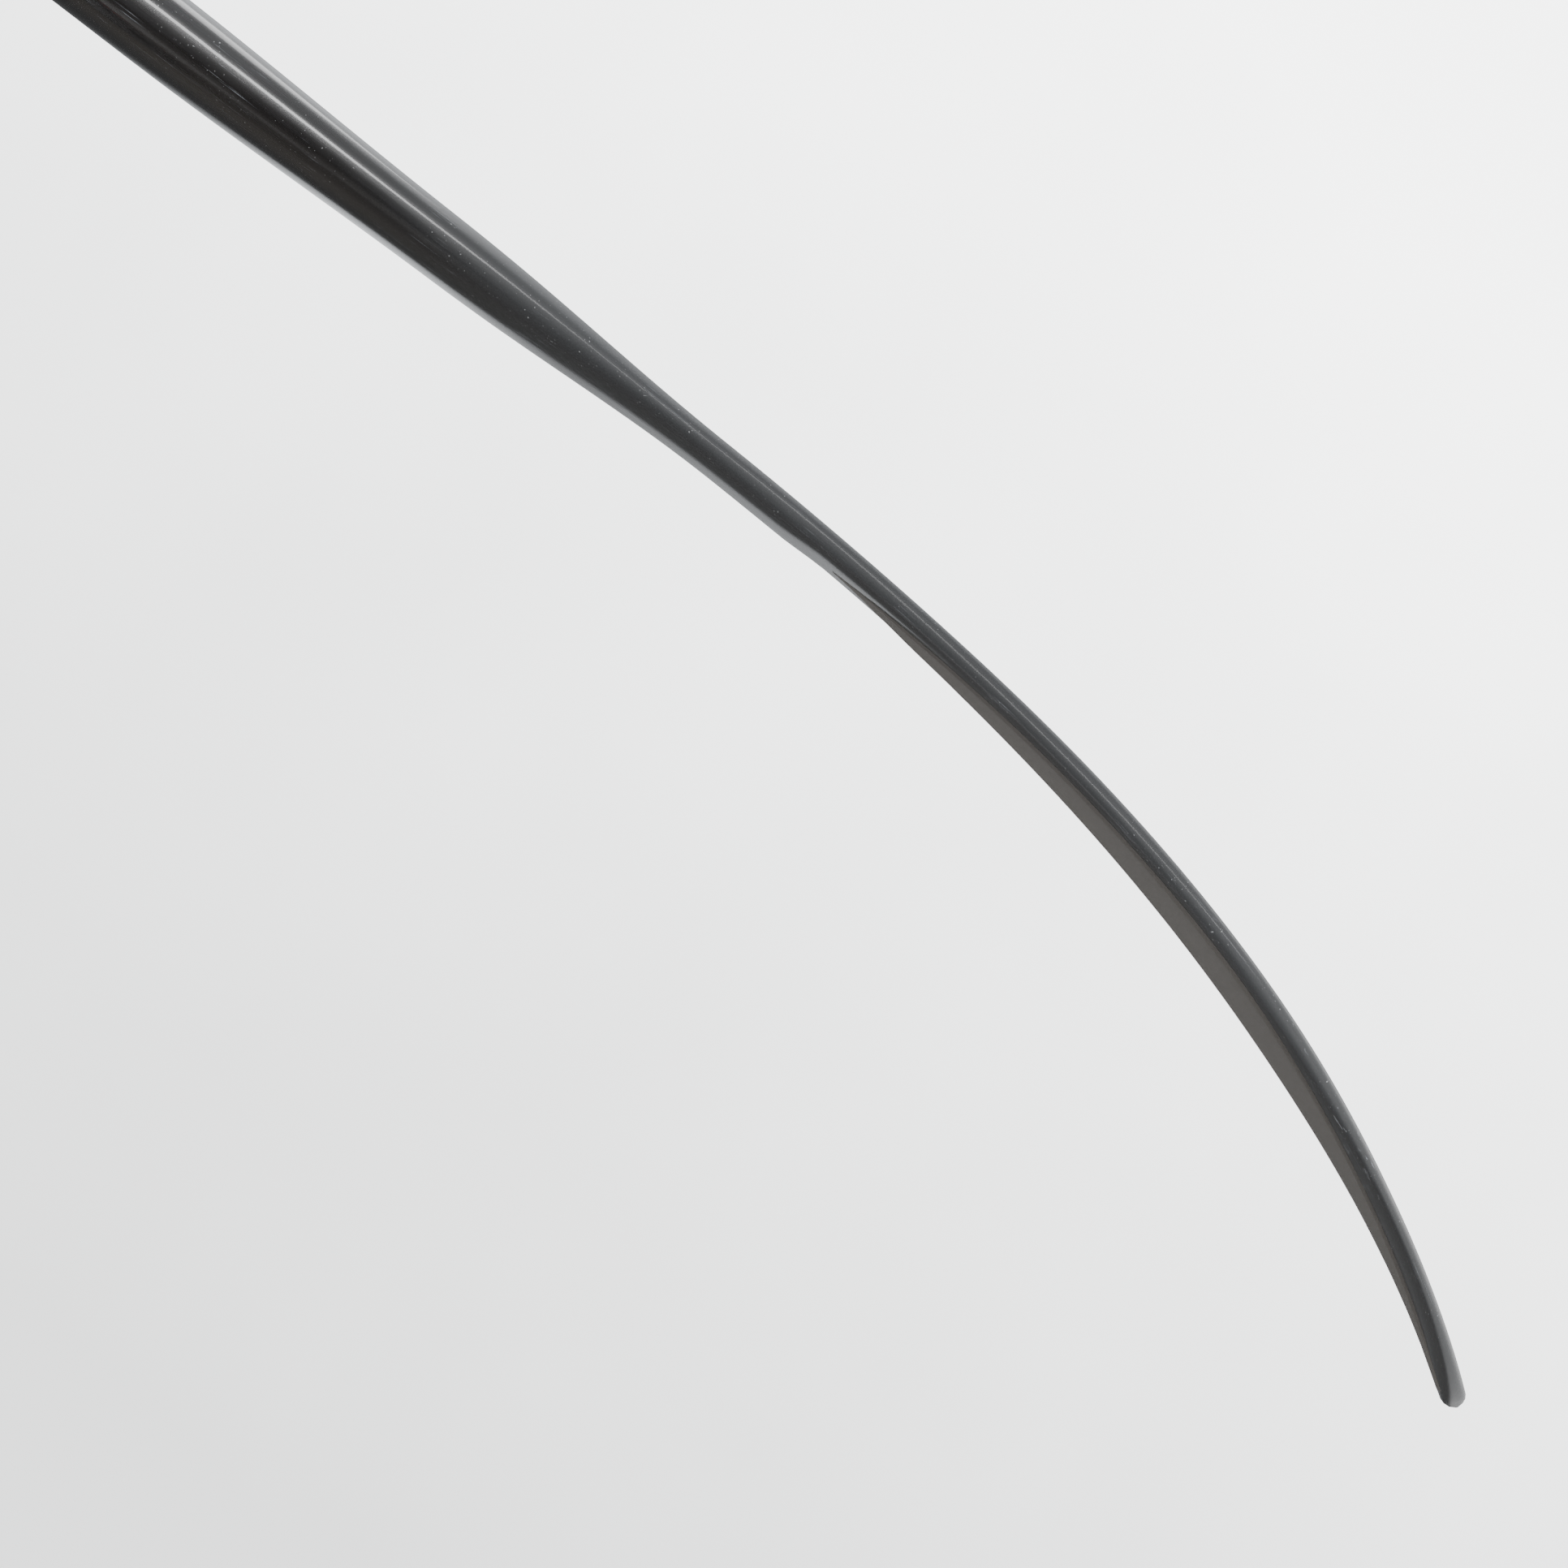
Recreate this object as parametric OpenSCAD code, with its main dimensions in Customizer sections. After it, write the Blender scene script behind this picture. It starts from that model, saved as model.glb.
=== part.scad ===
// Below-knee running leg: a carbon sprint blade behind a laminated socket,
// with a gel liner and a ratchet pin lock. Millimetres.
// +X points forward to the toe, +Y to the wearer's left, +Z up.
// The origin is on the socket's axis, on the seat that the limb end rests over.

/* [Blade path] */
// Angle of the blade below horizontal at the toe tip, in degrees
toe_angle = 40; // [34:1:44]
// Length of the toe curve, which tightens steadily towards the waist
curve_len = 286; // [270:1:300]
// Angle that the toe curve turns through, in degrees
curve_turn = 35.6; // [30:0.1:38]
// Straight shank between the toe curve and the bow
shank_len = 124; // [114:1:136]
// Radius of the bow below the mounting end
bow_r = 90; // [80:1:120]
// Forward lean of the mounting end, in degrees
mount_lean = 5; // [3:0.5:6]
// Straight mounting end
mount_len = 130; // [120:1:150]

/* [Blade section] */
// Greatest width, across the forefoot
forefoot_w = 75; // [66:1:84]
// Distance from the toe tip to the widest place
forefoot_at = 95; // [85:1:105]
// Width at the waist
waist_w = 40; // [36:1:44]
// Distance from the toe tip to the waist
waist_at = 215; // [205:1:225]
// Width of the shank
shank_w = 48; // [44:1:52]
// Width of the mounting end
mount_w = 60; // [56:1:66]
// Thickness of the laminate at the toe tip
toe_t = 4.6; // [4.2:0.1:5.2]
// Thickness across the forefoot
forefoot_t = 5.4; // [5.2:0.1:6.2]
// Thickness at the waist
waist_t = 6.4; // [6:0.1:7.5]
// Thickness where the shank begins
shank_t = 11.8; // [11:0.1:13]
// Greatest thickness, just below the bow
bow_t = 15.4; // [14.5:0.1:16.5]
// Thickness of the mounting end
mount_t = 13; // [12:0.1:14]
// Thickness of the matt ply bonded on the front of the forefoot
ply_t = 0.6; // [0.4:0.1:0.9]
// Distance from the toe tip to the ply's upper point
ply_end = 202; // [190:1:206]

/* [Blade mounting] */
// Least thickness of the fairing between the socket and the rail
fairing_min = 5; // [4:0.1:10]
// Height of the rail's middle above the limb seat
rail_z = 70; // [66:1:90]
// Rail length
rail_len = 100; // [96:1:104]
// Rail width
rail_w = 44; // [40:1:48]
// Rail thickness
rail_t = 12; // [11:0.5:14]
// Width of the slot mouth
slot_w = 9; // [8.6:0.1:10]
// Width of the slot's inner channel
channel_w = 15; // [14.5:0.1:16]
// Depth of the slot's inner channel
channel_t = 6; // [5.5:0.1:6.5]
// Thickness of the slot's lips
lip_t = 4; // [3.5:0.1:4.5]
// Distance between the blade bolts
bolt_gap = 50; // [46:1:52]
// Blade bolt diameter
bolt_d = 8; // [6:1:8]

/* [Socket] */
// Inner radius of the flexible socket at the limb seat
seat_r = 26; // [24:0.5:28]
// Inner radius of the flexible socket at its top
brim_r = 60; // [54:0.5:62]
// Nominal height over which the socket widens
socket_h = 200; // [180:1:220]
// Height of the rim at the front
brim_front = 186; // [176:1:200]
// Height of the rim at both sides
brim_side = 206; // [196:1:216]
// Height of the rim behind the knee
brim_back = 166; // [156:1:180]
// How much wider than round the socket is at the top, as a share
oval = 0.05; // [0:0.01:0.08]
// Flexible inner socket wall
inner_t = 3; // [2.5:0.1:4]
// Laminated outer socket wall
shell_t = 4; // [3.5:0.1:5]
// How far the flexible socket stands above the laminate
inner_lip = 8; // [5:1:12]
// Gap between the two sockets
nest_gap = 0.3; // [0.2:0.05:0.5]

/* [Liner] */
// Gel liner wall
liner_t = 5; // [4:0.5:6]
// Height of the liner's top edge
liner_top = 252; // [244:1:270]
// Gap between liner and socket
liner_gap = 0.6; // [0.5:0.05:0.9]
// Thickness of the liner's end cap
cap_t = 5; // [4.5:0.1:6]
// Radius of the liner's end cap
cap_r = 22; // [20:0.5:23]

/* [Pin lock] */
// Radius of the lock body
lock_r = 30; // [30:0.5:32]
// Height of the lock body
lock_h = 27; // [27:0.5:30]
// Thickness of the lock's cover
cover_t = 4; // [4:0.1:5]
// Tooth module of the gear and the pin
tooth_m = 1; // [0.9:0.05:1]
// Gear teeth
gear_teeth = 12; // [12:1:14]
// Gear face width
gear_w = 5; // [4.5:0.1:5.5]
// Gear axle radius
axle_r = 2; // [1.8:0.1:2.2]
// Pin radius over the teeth
pin_r = 4.5; // [4.3:0.1:4.7]
// Teeth along the pin
pin_teeth = 8; // [7:1:8]
// Stem radius of the release button
stem_r = 4; // [3.5:0.1:4.2]
// Head radius of the release button
button_r = 8; // [7.5:0.1:8.5]
// Travel of the release button
button_travel = 3.5; // [3:0.1:4]
// Running clearance of shafts, on the radius
run_gap = 0.05; // [0.03:0.01:0.08]
// Half the spacing of the four adapter holes
adapter_half = 18; // [17:0.5:19]

/* [Hidden] */

carbon = [0.09, 0.09, 0.10];
matt_grey = [0.42, 0.40, 0.39];
steel = [0.62, 0.63, 0.65];
alloy = [0.72, 0.73, 0.75];
black_alloy = [0.16, 0.16, 0.17];
clear_film = [0.78, 0.78, 0.76];
gel = [0.55, 0.55, 0.57];
knit = [0.20, 0.21, 0.23];
red_alloy = [0.60, 0.13, 0.12];

// 0 up to lo, 1 from hi, and a smooth rise between
function rise(v, lo, hi) =
    let (t = max(0, min(1, (v - lo) / (hi - lo)))) t * t * (3 - 2 * t);

// ---- Socket radii, by height z and direction q round the axis ----
widen_power = 0.45;
lock_fit = 0.4;
function cavity_r(z, q) =
    let (t = max(0, min(1.25, z / socket_h)))
    (seat_r + (brim_r - seat_r) * pow(t, widen_power)) * (1 - oval * min(1, t) * cos(2 * q));
function shell_out_r(z, q) = max(lock_r + lock_fit, cavity_r(z, q) + inner_t + nest_gap) + shell_t;
function shell_in_r(z, q) = shell_out_r(z, q) - shell_t;

// ---- Blade path, by distance a along it from the toe tip ----
bow_at = curve_len + shank_len;
bow_angle = 90 + mount_lean - toe_angle - curve_turn;
bow_len = bow_r * bow_angle * PI / 180;
flat_at = bow_at + bow_len;
blade_len = flat_at + mount_len;
grip_at = blade_len - rail_len / 2;

function heading(a) =
    toe_angle
    + curve_turn * (1 - pow(1 - min(a, curve_len) / curve_len, 2))
    + bow_angle * max(0, min(1, (a - bow_at) / bow_len));

// Stations close up at the rounded tip, then every few millimetres
tip_steps = [0, 0.25, 0.8, 1.6, 2.6, 4.5, 7.5, 11.5];
body_steps = 58;
function station(i) =
    i < len(tip_steps)
    ? tip_steps[i]
    : tip_steps[len(tip_steps) - 1]
      + (i - len(tip_steps) + 1) * (blade_len - tip_steps[len(tip_steps) - 1]) / body_steps;
stations = [for (i = [0:len(tip_steps) + body_steps - 1]) station(i)];

// Place on the path, from the tip, by adding short straight steps
path_step = 3;
function path_sum(n, da) =
    [for (i = 0, p = [0, 0]; i <= n;
          p = p + da * [-cos(heading((i + 0.5) * da)), sin(heading((i + 0.5) * da))], i = i + 1) p];
fine_n = ceil(blade_len / path_step);
fine_da = blade_len / fine_n;
fine = path_sum(fine_n, fine_da);
function path_at(a) =
    let (k = min(fine_n - 1, floor(a / fine_da)), f = a / fine_da - k)
    fine[k] * (1 - f) + fine[k + 1] * f;

// The rail clears the socket at its top end, and its middle fixes the blade
rail_top = rail_z + rail_len / 2;
rail_x = shell_out_r(rail_top, 180) + fairing_min + rail_len / 2 * sin(mount_lean);
lean_normal = [cos(mount_lean), -sin(mount_lean)];
rail_face = [-rail_x, rail_z];
grip_point = rail_face - lean_normal * (rail_t + mount_t / 2);
tip_point = grip_point - path_at(grip_at);
function blade_point(a) = tip_point + path_at(a);

// ---- Blade section ----
// Where along the blade each change of thickness starts and ends
toe_rise = [15, 80];
waist_rise = [170, 240];
shank_rise = [232, 300];
bow_rise = [290, 375];
function over_span(a, span) = rise(a, span[0], span[1]);
function thickness(a) =
    toe_t
    + (forefoot_t - toe_t) * over_span(a, toe_rise)
    + (waist_t - forefoot_t) * over_span(a, waist_rise)
    + (shank_t - waist_t) * over_span(a, shank_rise)
    + (bow_t - shank_t) * over_span(a, bow_rise)
    + (mount_t - bow_t) * rise(a, bow_at, flat_at);
nose_power = 1.8;
function swing(share) = (1 - cos(180 * min(1, share))) / 2;
function half_width(a) =
    a < forefoot_at
    ? forefoot_w / 2 * pow(1 - pow(1 - max(a, 0.25) / forefoot_at, nose_power), 1 / nose_power)
    : forefoot_w / 2
      - (forefoot_w - waist_w) / 2 * swing((a - forefoot_at) / (waist_at - forefoot_at))
      + (shank_w - waist_w) / 2 * rise(a, waist_at, shank_rise[1])
      + (mount_w - shank_w) / 2 * rise(a, bow_at, flat_at);
// Sections are crowned at the toe, flat with round edges across the forefoot,
// round-edged along the shank and nearly square in the mounting end
toe_power = 3;
forefoot_power = 5.6;
shank_power = 3.1;
mount_power = 8;
function squareness(a) =
    toe_power
    + (forefoot_power - toe_power) * rise(a, 40, forefoot_at)
    + (shank_power - forefoot_power) * rise(a, 170, 250)
    + (mount_power - shank_power) * rise(a, bow_at, flat_at);
// The tip's edge is rounded off in side view too
function tip_round(a) =
    let (r = toe_t / 2) a < r ? sqrt(max(0.02, 1 - pow(1 - a / r, 2))) : 1;

section_n = 28;
function bulge(v, n) = sign(v) * pow(abs(v), 2 / n);
function ply_recess(a) = ply_t * (1 - rise(a, ply_end + 2, ply_end + 14));
function blade_section(a) =
    let (c = blade_point(a), h = heading(a), t = thickness(a) / 2 * tip_round(a),
         front = t - ply_recess(a) * tip_round(a), w = half_width(a), n = squareness(a))
    [for (j = [0:section_n - 1])
        let (q = 360 * j / section_n, u = w * bulge(cos(q), n),
             v = (sin(q) > 0 ? front : t) * bulge(sin(q), n))
        [c[0] + v * sin(h), u, c[1] + v * cos(h)]];

// Skin round a stack of equal rings, closed by a flat cap at each end. The caps of
// a thin strip are rows of quads from edge to edge, and a band has none, because its
// last ring joins its first.
module skin(rings, strip = false, band = false) {
    all_rings = band ? concat(rings, [rings[0]]) : rings;
    m = len(rings) + (band ? 1 : 0);
    n = len(rings[0]);
    last = (m - 1) * n;
    polyhedron(
        points = [for (r = all_rings) for (p = r) p],
        faces = concat(
            band
            ? []
            : strip
            ? [for (k = [0:n / 2 - 2]) each [
                [k, k + 1, n - 2 - k, n - 1 - k],
                [last + k, last + n - 1 - k, last + n - 2 - k, last + k + 1]]]
            : [[for (j = [0:n - 1]) j], [for (j = [n - 1:-1:0]) last + j]],
            [for (i = [0:m - 2]) for (j = [0:n - 1])
                [i * n + j, (i + 1) * n + j, (i + 1) * n + (j + 1) % n]],
            [for (i = [0:m - 2]) for (j = [0:n - 1])
                [i * n + j, (i + 1) * n + (j + 1) % n, i * n + (j + 1) % n]]),
        convexity = 6);
}

// Rail frame: x forwards out of the blade's face, z up the rail
module at_rail() {
    translate([rail_face[0], 0, rail_face[1]]) rotate([0, mount_lean, 0]) children();
}
bolt_z = [-bolt_gap / 2, bolt_gap / 2];
bolt_clear_r = bolt_d / 2 + 0.3;
blade_back = -rail_t - mount_t;
plate_t = 4;
washer_t = 1.6;

module blade() {
    color(carbon)
    difference() {
        skin([for (a = stations) blade_section(a)]);
        at_rail()
        for (z = bolt_z)
            translate([blade_back - 2, 0, z]) rotate([0, 90, 0])
            cylinder(r = bolt_clear_r, h = mount_t + 4, $fn = 48);
    }
}

// Leaf outline of the matt ply, from just behind the tip to its upper point
ply_start = 3;
ply_w = forefoot_w - 4;
ply_stub = 0.12;
function ply_half_width(a) =
    a < forefoot_at
    ? ply_w / 2 * (ply_stub + (1 - ply_stub) * rise(a, 0, forefoot_at))
    : ply_w / 2 * pow(max(0.01, 1 - pow((a - forefoot_at) / (ply_end - forefoot_at), 1.6)), 0.8);
// Its rings share the blade's stations, so that the ply lies on the blade's facets
ply_stations = [ply_start, for (a = stations) if (a > ply_start + 0.5 && a < ply_end - 1) a, ply_end];
ply_cols = 10;
ply_bond = 0.06;
function crown(a, u) =
    let (n = squareness(a), f = min(1, abs(u) / half_width(a)))
    (thickness(a) / 2 - ply_t) * pow(1 - pow(f, n), 1 / n);
function ply_place(a, u, lift) =
    let (c = blade_point(a), h = heading(a), v = crown(a, u) + lift)
    [c[0] + v * sin(h), u, c[1] + v * cos(h)];
function ply_ring(a) =
    let (w = ply_half_width(a))
    concat(
        [for (k = [0:ply_cols]) ply_place(a, w * cos(180 * k / ply_cols), ply_t)],
        [for (k = [ply_cols:-1:0]) ply_place(a, w * cos(180 * k / ply_cols), ply_bond)]);

module dorsal_ply() {
    color(matt_grey) skin([for (a = ply_stations) ply_ring(a)], strip = true);
}

module clamp_plate() {
    plate_h = bolt_gap + 36;
    plate_w = 32;
    corner = 8;
    color(black_alloy)
    at_rail()
    difference() {
        translate([blade_back - plate_t, 0, 0]) rotate([0, 90, 0])
        linear_extrude(plate_t)
        union() {
            square([plate_h - 2 * corner, plate_w], center = true);
            square([plate_h, plate_w - 2 * corner], center = true);
            for (sx = [-1, 1]) for (sy = [-1, 1])
                translate([sx * (plate_h / 2 - corner), sy * (plate_w / 2 - corner)])
                circle(r = corner, $fn = 48);
        }
        for (z = bolt_z)
            translate([blade_back - plate_t - 1, 0, z]) rotate([0, 90, 0])
            cylinder(r = bolt_clear_r, h = plate_t + 2, $fn = 48);
    }
}

bolt_head_r = 6.5;
bolt_head_h = 8;
key_r = 3.6;
key_depth = 4;
nut_t = channel_t - 0.5;
nut_back = -rail_t + lip_t + 0.3;
module blade_bolts() {
    head_x = blade_back - plate_t - washer_t;
    color(steel)
    at_rail()
    for (z = bolt_z)
        translate([head_x, 0, z]) rotate([0, 90, 0])
        difference() {
            union() {
                translate([0, 0, -bolt_head_h]) cylinder(r = bolt_head_r, h = bolt_head_h, $fn = 48);
                cylinder(r = bolt_d / 2, h = nut_back + nut_t - head_x, $fn = 48);
            }
            translate([0, 0, -bolt_head_h - 1]) cylinder(r = key_r, h = key_depth + 1, $fn = 6);
        }
}

module bolt_washers() {
    color(alloy)
    at_rail()
    for (z = bolt_z)
        translate([blade_back - plate_t - washer_t, 0, z]) rotate([0, 90, 0])
        difference() {
            cylinder(r = 8.5, h = washer_t, $fn = 48);
            translate([0, 0, -1]) cylinder(r = bolt_clear_r, h = washer_t + 2, $fn = 48);
        }
}

module slot_nuts() {
    nut_l = 18;
    slide_gap = 0.8;
    nut_w = channel_w - slide_gap;
    neck_w = slot_w - slide_gap;
    neck_back = 0.5;
    neck_step = 3;
    color(steel)
    at_rail()
    for (z = bolt_z)
        difference() {
            union() {
                translate([nut_back, -nut_w / 2, z - nut_l / 2]) cube([nut_t, nut_w, nut_l]);
                translate([neck_back - rail_t, -neck_w / 2, z - nut_l / 2 + neck_step])
                cube([lip_t, neck_w, nut_l - 2 * neck_step]);
            }
            translate([-rail_t, 0, z]) rotate([0, 90, 0])
            cylinder(r = bolt_d / 2, h = rail_t, $fn = 48);
        }
}

screw_y = rail_w / 2 - 6;
screw_z = rail_len / 2 - 10;
screw_r = 2.5;
screw_head_r = 4.6;
screw_sink = 2.6;
screw_bite = 4;
head_gap = 0.2;
module rail_screw_places() {
    for (y = [-screw_y, screw_y]) for (z = [-screw_z, screw_z])
        translate([-rail_t, y, z]) rotate([0, 90, 0]) children();
}

module slot_rail() {
    color(alloy)
    at_rail()
    difference() {
        translate([-rail_t, -rail_w / 2, -rail_len / 2]) cube([rail_t, rail_w, rail_len]);
        translate([-rail_t - 1, -slot_w / 2, -rail_len / 2 - 1]) cube([lip_t + 2, slot_w, rail_len + 2]);
        translate([-rail_t + lip_t, -channel_w / 2, -rail_len / 2 - 1])
        cube([channel_t, channel_w, rail_len + 2]);
        rail_screw_places() {
            cylinder(r = screw_r, h = rail_t + 1, $fn = 32);
            translate([0, 0, -0.01]) cylinder(r1 = screw_head_r, r2 = screw_r, h = screw_sink, $fn = 32);
        }
    }
}

module rail_screws() {
    color(steel)
    at_rail()
    rail_screw_places()
    difference() {
        union() {
            translate([0, 0, head_gap])
            cylinder(r1 = screw_head_r - 2 * head_gap, r2 = screw_r, h = screw_sink - 2 * head_gap, $fn = 32);
            translate([0, 0, 1]) cylinder(r = screw_r, h = rail_t + screw_bite - 1, $fn = 32);
        }
        translate([0, 0, -1]) cylinder(r = 1.6, h = 3, $fn = 6);
    }
}

// ---- Socket, liner: rings round the Z axis ----
around = 40;
low_top = 100;
low_levels = [5, 12, 22, 36, 55, 77, low_top];
high_shares = [0.2, 0.4, 0.6, 0.8, 0.93, 1];

function brim_z(q) =
    brim_front + (brim_back - brim_front) * (1 - cos(q)) / 2
    + (brim_side - (brim_front + brim_back) / 2) * pow(sin(q), 2);
function level(i, q, lift) =
    i < len(low_levels)
    ? low_levels[i]
    : low_top + (brim_z(q) + lift - low_top) * high_shares[i - len(low_levels)];
levels = len(low_levels) + len(high_shares);
function ring_at(z, r) =
    [for (j = [0:around - 1]) let (q = 360 * j / around) [r * cos(q), r * sin(q), z]];

shell_bottom = -lock_h - cover_t - inner_t - shell_t;
lock_bottom = shell_bottom + shell_t;
cover_bottom = lock_bottom + lock_h;
shell_low = [lock_bottom + 2, -inner_t];
function shell_out_ring(i) =
    [for (j = [0:around - 1]) let (q = 360 * j / around, z = level(i, q, 0), r = shell_out_r(z, q))
        [r * cos(q), r * sin(q), z]];
function shell_in_ring(i) =
    [for (j = [0:around - 1]) let (q = 360 * j / around, z = level(i, q, 0), r = shell_in_r(z, q))
        [r * cos(q), r * sin(q), z]];
base_out_r = lock_r + lock_fit + shell_t;
base_in_r = base_out_r - shell_t;
edge = 2.5;
drain_r = 8;
pin_hole_r = 9;
adapter_tap_r = 2.5;
adapter_pass_r = 3.3;
shell_outside = concat(
    [ring_at(shell_bottom, base_out_r - edge),
     ring_at(shell_bottom + edge * 0.3, base_out_r - edge * 0.3),
     ring_at(shell_bottom + edge, base_out_r)],
    [for (z = shell_low) if (z > shell_bottom + edge + 0.1) ring_at(z, base_out_r)],
    [for (i = [0:levels - 1]) shell_out_ring(i)]);

gear_pitch_r = tooth_m * gear_teeth / 2;
addendum = 0.8 * tooth_m;
dedendum = 1.05 * tooth_m;
pitch = PI * tooth_m;
backlash = 0.16;
pressure = 25;
pin_pitch_r = pin_r - addendum;
gear_x = pin_pitch_r + gear_pitch_r;
gear_z = (lock_bottom + cover_bottom) / 2;
bezel_r = button_r + 4;
wire_r = 0.5;
spring_out_r = stem_r + 2.4;
spring_coils = 6;
spring_gap = 0.4;
spring_seat = lock_r - 6;
head_t = 5;
head_out = base_out_r + 1.2 + button_travel;
head_in = head_out - head_t;

module button_axis() {
    translate([gear_x, 0, gear_z]) rotate([-90, 0, 0]) children();
}
module adapter_places() {
    for (x = [-adapter_half, adapter_half]) for (y = [-adapter_half, adapter_half])
        translate([x, y, 0]) children();
}

module outer_socket() {
    color(carbon)
    difference() {
        skin(concat(
            shell_outside,
            [for (i = [levels - 1:-1:0]) shell_in_ring(i)],
            [ring_at(-inner_t, base_in_r), ring_at(lock_bottom, base_in_r)]));
        translate([0, 0, shell_bottom - 1]) cylinder(r = drain_r, h = shell_t + 2, $fn = 48);
        translate([0, 0, shell_bottom - 1]) adapter_places()
        cylinder(r = adapter_pass_r, h = shell_t + 2, $fn = 32);
        button_axis() translate([0, 0, lock_r - 12]) cylinder(r = bezel_r, h = 24, $fn = 64);
    }
}

function inner_out_ring(i) =
    [for (j = [0:around - 1])
        let (q = 360 * j / around, z = level(i, q, inner_lip), r = cavity_r(z, q) + inner_t)
        [r * cos(q), r * sin(q), z]];
function inner_in_ring(i) =
    [for (j = [0:around - 1])
        let (q = 360 * j / around, z = level(i, q, inner_lip), r = cavity_r(z, q))
        [r * cos(q), r * sin(q), z]];
module inner_socket() {
    color(clear_film)
    difference() {
        skin(concat(
            [ring_at(-inner_t, seat_r - 1), ring_at(0, seat_r + inner_t - 0.5)],
            [for (i = [0:levels - 1]) inner_out_ring(i)],
            [for (i = [levels - 1:-1:0]) inner_in_ring(i)],
            [ring_at(0, seat_r)]));
        translate([0, 0, -inner_t - 1]) cylinder(r = pin_hole_r, h = inner_t + 2, $fn = 48);
    }
}

module mount_fairing() {
    fairing_w = rail_w + 8;
    reach = 40;
    color(carbon)
    difference() {
        at_rail()
        hull() {
            translate([0, -rail_w / 2 - 1, -rail_len / 2]) cube([0.5, rail_w + 2, rail_len]);
            translate([reach, -fairing_w / 2, -rail_len / 2 - 6]) cube([1, fairing_w, rail_len + 4]);
        }
        skin(shell_outside);
        at_rail() rail_screw_places() cylinder(r = screw_r, h = rail_t + screw_bite, $fn = 32);
    }
}

// ---- Pin lock ----
gear_room_r = gear_pitch_r + addendum + 0.8;
gear_y0 = -gear_w / 2;
clutch_w = 5;
axle_seat = 6;
clutch_r = gear_x - pin_r + 0.4;
clutch_key = 5;
room_y0 = gear_y0 - clutch_w - 0.6;
room_y1 = -gear_y0 + 0.8;
pin_bore_r = pin_r + 0.7;
cover_screw_at = lock_r - 5.5;
cover_screw_r = 1.6;
cover_head_r = 3;
seal_out_r = 18;
seal_in_r = 15;
seal_t = 1.2;
seal_fit = 0.1;

module lock_body() {
    color(black_alloy)
    difference() {
        translate([0, 0, lock_bottom]) cylinder(r = lock_r, h = lock_h, $fn = 96);
        translate([0, 0, lock_bottom - 1]) cylinder(r = pin_bore_r, h = lock_h + 2, $fn = 48);
        translate([gear_x, room_y0, gear_z]) rotate([-90, 0, 0])
        cylinder(r = gear_room_r, h = room_y1 - room_y0, $fn = 64);
        translate([gear_x - gear_room_r, room_y0, gear_z])
        cube([2 * gear_room_r, room_y1 - room_y0, lock_h]);
        button_axis() cylinder(r = stem_r + run_gap, h = lock_r + 2, $fn = 48);
        button_axis() translate([0, 0, spring_seat])
        cylinder(r = spring_out_r + spring_gap, h = lock_r, $fn = 48);
        button_axis() translate([0, 0, room_y0 - axle_seat]) cylinder(r = axle_r, h = axle_seat + 2, $fn = 48);
        translate([0, 0, lock_bottom - 1]) adapter_places() cylinder(r = adapter_tap_r, h = 13, $fn = 32);
        for (q = [45:90:315]) rotate([0, 0, q])
            translate([cover_screw_at, 0, cover_bottom - 8]) cylinder(r = cover_screw_r, h = 9, $fn = 24);
    }
}

module lock_cover() {
    color(alloy)
    difference() {
        translate([0, 0, cover_bottom]) cylinder(r = lock_r, h = cover_t, $fn = 96);
        translate([0, 0, cover_bottom - 0.01])
        cylinder(r1 = pin_bore_r, r2 = pin_hole_r, h = cover_t + 0.02, $fn = 64);
        translate([0, 0, cover_bottom + cover_t - seal_t])
        difference() {
            cylinder(r = seal_out_r + seal_fit, h = 2, $fn = 64);
            cylinder(r = seal_in_r - seal_fit, h = 2, $fn = 64);
        }
        for (q = [45:90:315]) rotate([0, 0, q]) translate([cover_screw_at, 0, cover_bottom]) {
            translate([0, 0, -1]) cylinder(r = cover_screw_r, h = cover_t + 2, $fn = 24);
            translate([0, 0, cover_t - 2])
            cylinder(r1 = cover_screw_r, r2 = cover_head_r + 0.2, h = 2.01, $fn = 32);
        }
    }
}

module cover_screws() {
    color(steel)
    for (q = [45:90:315]) rotate([0, 0, q]) translate([cover_screw_at, 0, cover_bottom])
        difference() {
            union() {
                translate([0, 0, -7]) cylinder(r = cover_screw_r, h = cover_t + 6, $fn = 24);
                translate([0, 0, cover_t - 2])
                cylinder(r1 = cover_screw_r, r2 = cover_head_r, h = 1.8, $fn = 32);
            }
            translate([0, 0, cover_t - 1.4]) cylinder(r = 1.2, h = 3, $fn = 6);
        }
}

module lock_seal() {
    color(knit)
    translate([0, 0, cover_bottom + cover_t - seal_t])
    difference() {
        cylinder(r = seal_out_r, h = seal_t, $fn = 64);
        translate([0, 0, -1]) cylinder(r = seal_in_r, h = seal_t + 2, $fn = 64);
    }
}

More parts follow.
